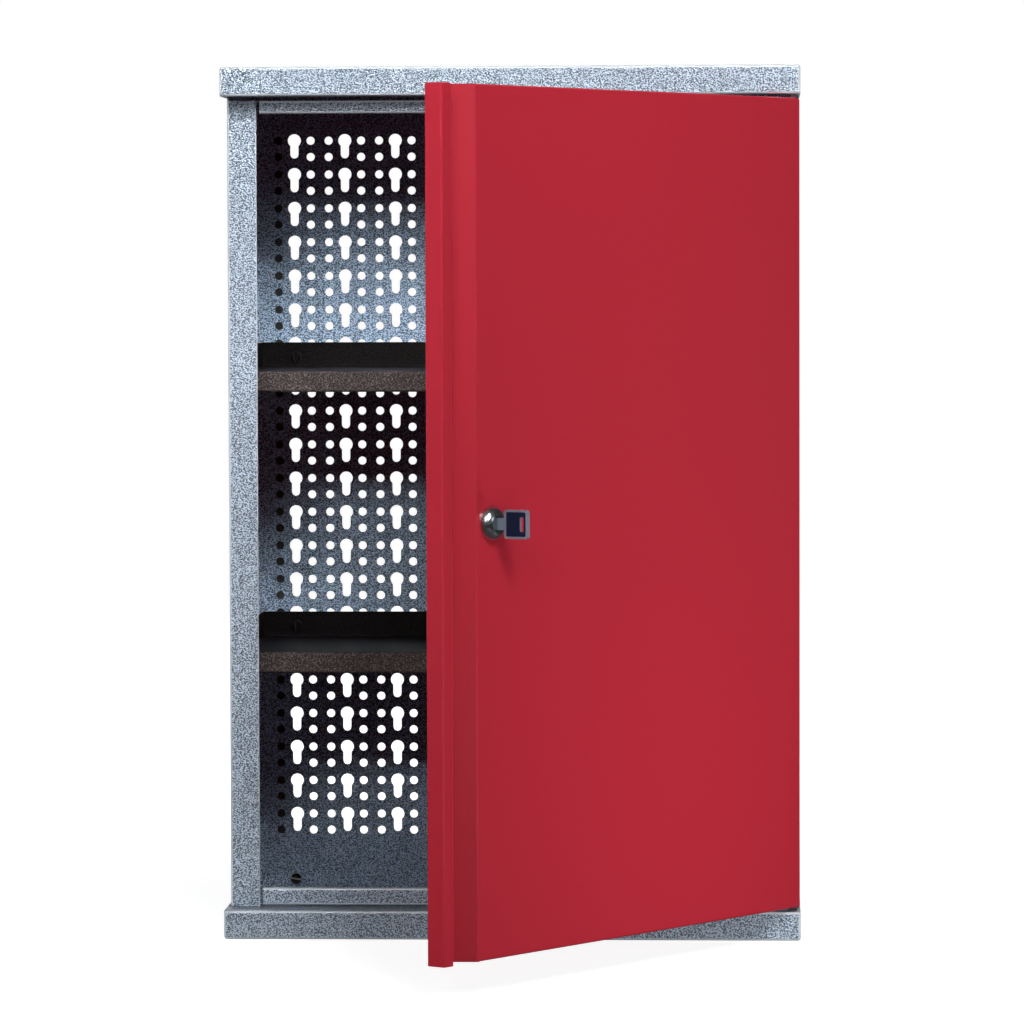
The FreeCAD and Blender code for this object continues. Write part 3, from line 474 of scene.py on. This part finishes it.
def perforated_sheet_tree(material):
    """Fills a sheet between its outer edge, a keyhole outline and round holes on a grid."""
    tree = bpy.data.node_groups.new("perforated_sheet", "GeometryNodeTree")
    face = tree.interface
    face.new_socket("Geometry", in_out="INPUT", socket_type="NodeSocketGeometry")
    settings = {}
    for name, value in (("Half Width", panel_half_width), ("Low", panel_low),
                        ("High", panel_high), ("Thickness", panel_sheet),
                        ("Pitch X", hole_pitch_x), ("Pitch Z", hole_pitch_z),
                        ("Top Row", hole_top_row), ("Hole Radius", small_hole),
                        ("Hole Offset", small_offset), ("Screw Hole", panel_screw_hole),
                        ("Screw X", panel_screw_x), ("Screw Rise", panel_screw_rise),
                        ("Columns", hole_columns), ("Rows", hole_rows)):
        kind = "NodeSocketInt" if isinstance(value, int) else "NodeSocketFloat"
        socket = face.new_socket(name, in_out="INPUT", socket_type=kind)
        settings[socket.identifier] = value
    face.new_socket("Geometry", in_out="OUTPUT", socket_type="NodeSocketGeometry")
    given = tree.nodes.new("NodeGroupInput").outputs
    leave = tree.nodes.new("NodeGroupOutput")

    def moved(geometry, across, up):
        offset = add_node(tree, "ShaderNodeCombineXYZ", {"X": across, "Y": up})
        return add_node(tree, "GeometryNodeTransform",
                        {"Geometry": geometry, "Translation": offset})

    def placed_on(points, outline):
        return add_node(tree, "GeometryNodeInstanceOnPoints",
                        {"Points": points, "Instance": outline})

    def circle(radius):
        return add_node(tree, "GeometryNodeCurvePrimitiveCircle",
                        {"Resolution": round_segments, "Radius": radius})

    span_x = maths(tree, "MULTIPLY", given["Pitch X"],
                   maths(tree, "SUBTRACT", given["Columns"], 1))
    span_z = maths(tree, "MULTIPLY", given["Pitch Z"],
                   maths(tree, "SUBTRACT", given["Rows"], 1))
    grid = add_node(tree, "GeometryNodeMeshGrid",
                    {"Size X": span_x, "Size Y": span_z,
                     "Vertices X": given["Columns"], "Vertices Y": given["Rows"]})
    middle = maths(tree, "SUBTRACT", given["Top Row"], maths(tree, "MULTIPLY", span_z, 0.5))
    heads = moved(grid, 0.0, middle)
    keyhole = add_node(tree, "GeometryNodeMeshToCurve", {"Mesh": given["Geometry"]})
    outlines = [placed_on(heads, keyhole)]
    for side in (-1, 1):
        across = maths(tree, "MULTIPLY", given["Hole Offset"], side)
        for down in (0, -1):
            below = maths(tree, "MULTIPLY", given["Hole Offset"], down)
            outlines.append(placed_on(moved(heads, across, below),
                                      circle(given["Hole Radius"])))
    height = maths(tree, "ADD", given["Low"], given["High"])
    screw_top = maths(tree, "SUBTRACT", height, given["Screw Rise"])
    for side in (-1, 1):
        across = maths(tree, "MULTIPLY", given["Screw X"], side)
        for rise in (given["Screw Rise"], screw_top):
            outlines.append(moved(circle(given["Screw Hole"]), across, rise))
    edge = add_node(tree, "GeometryNodeCurvePrimitiveQuadrilateral",
                    {"Width": maths(tree, "MULTIPLY", given["Half Width"], 2),
                     "Height": maths(tree, "SUBTRACT", given["High"], given["Low"])})
    outlines.append(moved(edge, 0.0, maths(tree, "MULTIPLY", height, 0.5)))
    real = add_node(tree, "GeometryNodeRealizeInstances", {0: joined(tree, outlines)})
    front = add_node(tree, "GeometryNodeFillCurve", {"Curve": real})
    depth = add_node(tree, "ShaderNodeCombineXYZ", {"Z": given["Thickness"]})
    thick = add_node(tree, "GeometryNodeExtrudeMesh",
                     {"Mesh": front, "Offset": depth, "Offset Scale": 1.0,
                      "Individual": False})
    back = add_node(tree, "GeometryNodeFlipFaces", {"Mesh": front})
    welded = add_node(tree, "GeometryNodeMergeByDistance",
                      {0: joined(tree, [thick, back]), "Distance": weld_distance})
    last = add_node(tree, "GeometryNodeRealizeInstances", {0: welded})
    coat = add_node(tree, "GeometryNodeSetMaterial", {"Geometry": last, "Material": material})
    tree.links.new(coat, leave.inputs[0])
    return tree, settings


def grown(name, seed_mesh, tree, settings):
    """Runs a node tree on a seed mesh once and keeps the result as a plain mesh."""
    seed = bpy.data.objects.new(name + "_seed", seed_mesh)
    scene.collection.objects.link(seed)
    modifier = seed.modifiers.new("grow", "NODES")
    modifier.node_group = tree
    for identifier, value in settings.items():
        modifier[identifier] = value
    bpy.context.view_layer.update()
    shape = seed.evaluated_get(bpy.context.evaluated_depsgraph_get())
    mesh = bpy.data.meshes.new_from_object(shape)
    mesh.name = name
    seed.modifiers.clear()
    bpy.data.objects.remove(seed)
    piece = bpy.data.objects.new(name, mesh)
    scene.collection.objects.link(piece)
    return piece


panel_paint = hammered_paint("panel_paint_finish", panel_colour, panel_wrinkle_shade, panel_relief)
sheet_tree, sheet_settings = perforated_sheet_tree(panel_paint)
back_panel = grown("perforated_panel", keyhole_outline(), sheet_tree, sheet_settings)
stand_up = Matrix(((1, 0, 0, 0), (0, 0, -1, panel_back), (0, 1, 0, 0), (0, 0, 0, 1)))
back_panel.data.transform(stand_up)
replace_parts(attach(back_panel, "cabinet"), "back_panel")


# ---------------------------------------------------------------------------
# Shelves. Pressed trays in brown-black paint that is mottled with pale specks. The lip in
# front is painted lighter, with brighter specks, as painted sheen and painted glints for the
# light it catches from above. An upturned flange at the back is screwed to the panel, with
# slotted screws in the same paint. The shapes come from the CAD nodes.
# ---------------------------------------------------------------------------
shelf_colour = (0.0045, 0.0036, 0.0036)
shelf_speck = (0.016, 0.013, 0.013)
# painted sheen and painted glints: the lip is painted lighter and its specks brighter, for
# the light it catches from above
lip_sheen = (0.040, 0.032, 0.031)
lip_glint = (0.165, 0.137, 0.133)
lip_front = -0.0716             # all lip up to this depth
lip_back = -0.0700              # and all tray from here on
speck_scale = 1100.0
speck_detail = 1.0
speck_from = 0.50
speck_to = 0.66
speck_relief = 0.00012
shelf_roughness = 0.45
shelf_shine = 0.06

shelf_paint, shelf_tree, shelf_shader = paint_base("shelf_paint_finish")
shelf_place = coordinate(shelf_tree, "Object")
shelf_grain = noise(shelf_tree, shelf_place, speck_scale, speck_detail)
specks_and_glints = ramped(shelf_tree, shelf_grain, speck_from, speck_to)
# mask of the lip, where the painted sheen and glints go
lip_sheen_mask = ramped(shelf_tree, part_of(shelf_tree, shelf_place, "Y"), lip_front, lip_back,
                  1.0, 0.0)
tray_tint = blended(shelf_tree, specks_and_glints, shelf_colour, shelf_speck)
lip_sheen_tint = blended(shelf_tree, specks_and_glints, lip_sheen, lip_glint)
shelf_tree.links.new(blended(shelf_tree, lip_sheen_mask, tray_tint, lip_sheen_tint),
                     shelf_shader.inputs["Base Color"])
raised(shelf_tree, shelf_shader, shelf_grain, speck_relief)
shelf_shader.inputs["Roughness"].default_value = shelf_roughness
shelf_shader.inputs["Specular IOR Level"].default_value = shelf_shine
dress(("upper_shelf", "lower_shelf", "shelf_screws"), shelf_paint)


# ---------------------------------------------------------------------------
# Panel screws. Slotted screws in black gloss paint, with a painted highlight at the bottom
# of the slot. The shapes come from the CAD node.
# ---------------------------------------------------------------------------
screw_black = (0.012, 0.012, 0.014)
# painted highlight at the bottom of the slot, for its lit edge
screw_slot_highlight = (0.55, 0.58, 0.62)
screw_slot_from = 0.0905        # depths between which the slot's bottom lies
screw_slot_to = 0.0907
screw_roughness = 0.25

screw_paint, screw_tree, screw_shader = paint_base("screw_paint_finish")
slot_highlight_mask = inside(screw_tree, part_of(screw_tree, coordinate(screw_tree, "Object"), "Y"),
                   screw_slot_from, screw_slot_to)
screw_tree.links.new(blended(screw_tree, slot_highlight_mask, screw_black, screw_slot_highlight),
                     screw_shader.inputs["Base Color"])
screw_shader.inputs["Roughness"].default_value = screw_roughness
dress(("panel_screws",), screw_paint)


# ---------------------------------------------------------------------------
# Hinge pins, rivets, nuts and the lock's back. Bright zinc-plated steel with a faint
# cloudy grain. The shapes come from the CAD nodes.
# ---------------------------------------------------------------------------
zinc_colour = (0.46, 0.47, 0.49)
zinc_cloud = 600.0
zinc_detail = 2.0
zinc_smooth = 0.22              # roughness of the clouds, from and to
zinc_dull = 0.42

zinc_steel, zinc_tree, zinc_shader = paint_base("zinc_steel_finish")
zinc_grain = noise(zinc_tree, coordinate(zinc_tree, "Object"), zinc_cloud, zinc_detail)
zinc_tree.links.new(ramped(zinc_tree, zinc_grain, 0.0, 1.0, zinc_smooth, zinc_dull, "LINEAR"),
                    zinc_shader.inputs["Roughness"])
zinc_shader.inputs["Base Color"].default_value = (*zinc_colour, 1)
zinc_shader.inputs["Metallic"].default_value = 1.0
dress(("bottom_hinge_pin", "top_hinge_pin", "bottom_cap_rivets", "top_cap_rivets",
       "shelf_nuts", "panel_nuts",
       "lock_washer", "lock_nut", "lock_cam", "cam_screw", "cam_washer"), zinc_steel)


# ---------------------------------------------------------------------------
# Door. One folded sheet in smooth red gloss enamel, with a finger groove and a plain
# strip at the free edge, and the same paint on its pivot plates. The shapes come from
# the CAD nodes.
# ---------------------------------------------------------------------------
red_colour = (0.405, 0.0205, 0.0360)
red_roughness = 0.30
red_shine = 0.25


def plain_finish(name, colour, roughness, metal=0.0, shine=0.5):
    """A material of one colour, with the shader's own shine unless given."""
    material, _, shader = paint_base(name)
    shader.inputs["Base Color"].default_value = (*colour, 1)
    shader.inputs["Roughness"].default_value = roughness
    shader.inputs["Metallic"].default_value = metal
    shader.inputs["Specular IOR Level"].default_value = shine
    return material


dress(("door_panel", "bottom_pivot_plate", "top_pivot_plate"),
      plain_finish("red_enamel_finish", red_colour, red_roughness, shine=red_shine))


# ---------------------------------------------------------------------------
# Door buffers. Two small stops of matt black rubber on the door's inner lip. The shapes
# come from the CAD node.
# ---------------------------------------------------------------------------
rubber_colour = (0.012, 0.012, 0.012)
rubber_roughness = 0.8

dress(("door_buffers",), plain_finish("rubber_finish", rubber_colour, rubber_roughness))


# ---------------------------------------------------------------------------
# Lock and key. A chromed collar round a nickel plug, with a flat nickel key in it whose
# flats carry a painted dark reflection and whose rims a painted highlight. The shapes come
# from the CAD nodes.
# ---------------------------------------------------------------------------
chrome_colour = (0.66, 0.70, 0.74)
chrome_roughness = 0.24
nickel_colour = (0.50, 0.50, 0.50)
nickel_roughness = 0.18
# painted reflection: dark navy on the key's flats; painted highlight: paler along its rims
# and rounded edges
key_flat_reflection = (0.012, 0.036, 0.090)
key_rim_highlight = (0.30, 0.38, 0.48)
key_across = (0.5736, 0.8192, 0.0)     # square to the flats, as the key rests
key_flat_depth = 0.00095               # beyond this the metal belongs to the raised rim
key_turned = 0.80                      # how squarely rounded edges and flats face across
key_square = 0.97
key_metal = 0.50
key_roughness = 0.16


def along(tree, vector, direction):
    """How far a vector reaches along a direction."""
    node = tree.nodes.new("ShaderNodeVectorMath")
    node.operation = "DOT_PRODUCT"
    tree.links.new(vector, node.inputs[0])
    node.inputs[1].default_value = direction
    return node.outputs["Value"]


dress(("lock_housing",),
      plain_finish("chrome_finish", chrome_colour, chrome_roughness, metal=1.0))
dress(("lock_plug",),
      plain_finish("nickel_finish", nickel_colour, nickel_roughness, metal=1.0))

key_finish, key_tree, key_shader = paint_base("key_finish")
key_depths = [Vector(key_across).dot(corner.co) for corner in cad_nodes["key"].data.vertices]
key_middle = (max(key_depths) + min(key_depths)) / 2
key_offset = maths(key_tree, "SUBTRACT",
                   along(key_tree, coordinate(key_tree, "Object"), key_across), key_middle)
within = maths(key_tree, "LESS_THAN", maths(key_tree, "ABSOLUTE", key_offset),
               key_flat_depth)
facing_across = maths(key_tree, "ABSOLUTE",
                      along(key_tree, coordinate(key_tree, "Normal"), key_across))
flat_reflection_mask = maths(key_tree, "MULTIPLY",
                 ramped(key_tree, facing_across, key_turned, key_square), within)
key_tree.links.new(blended(key_tree, flat_reflection_mask, key_rim_highlight, key_flat_reflection),
                   key_shader.inputs["Base Color"])
key_shader.inputs["Metallic"].default_value = key_metal
key_shader.inputs["Roughness"].default_value = key_roughness
dress(("key",), key_finish)
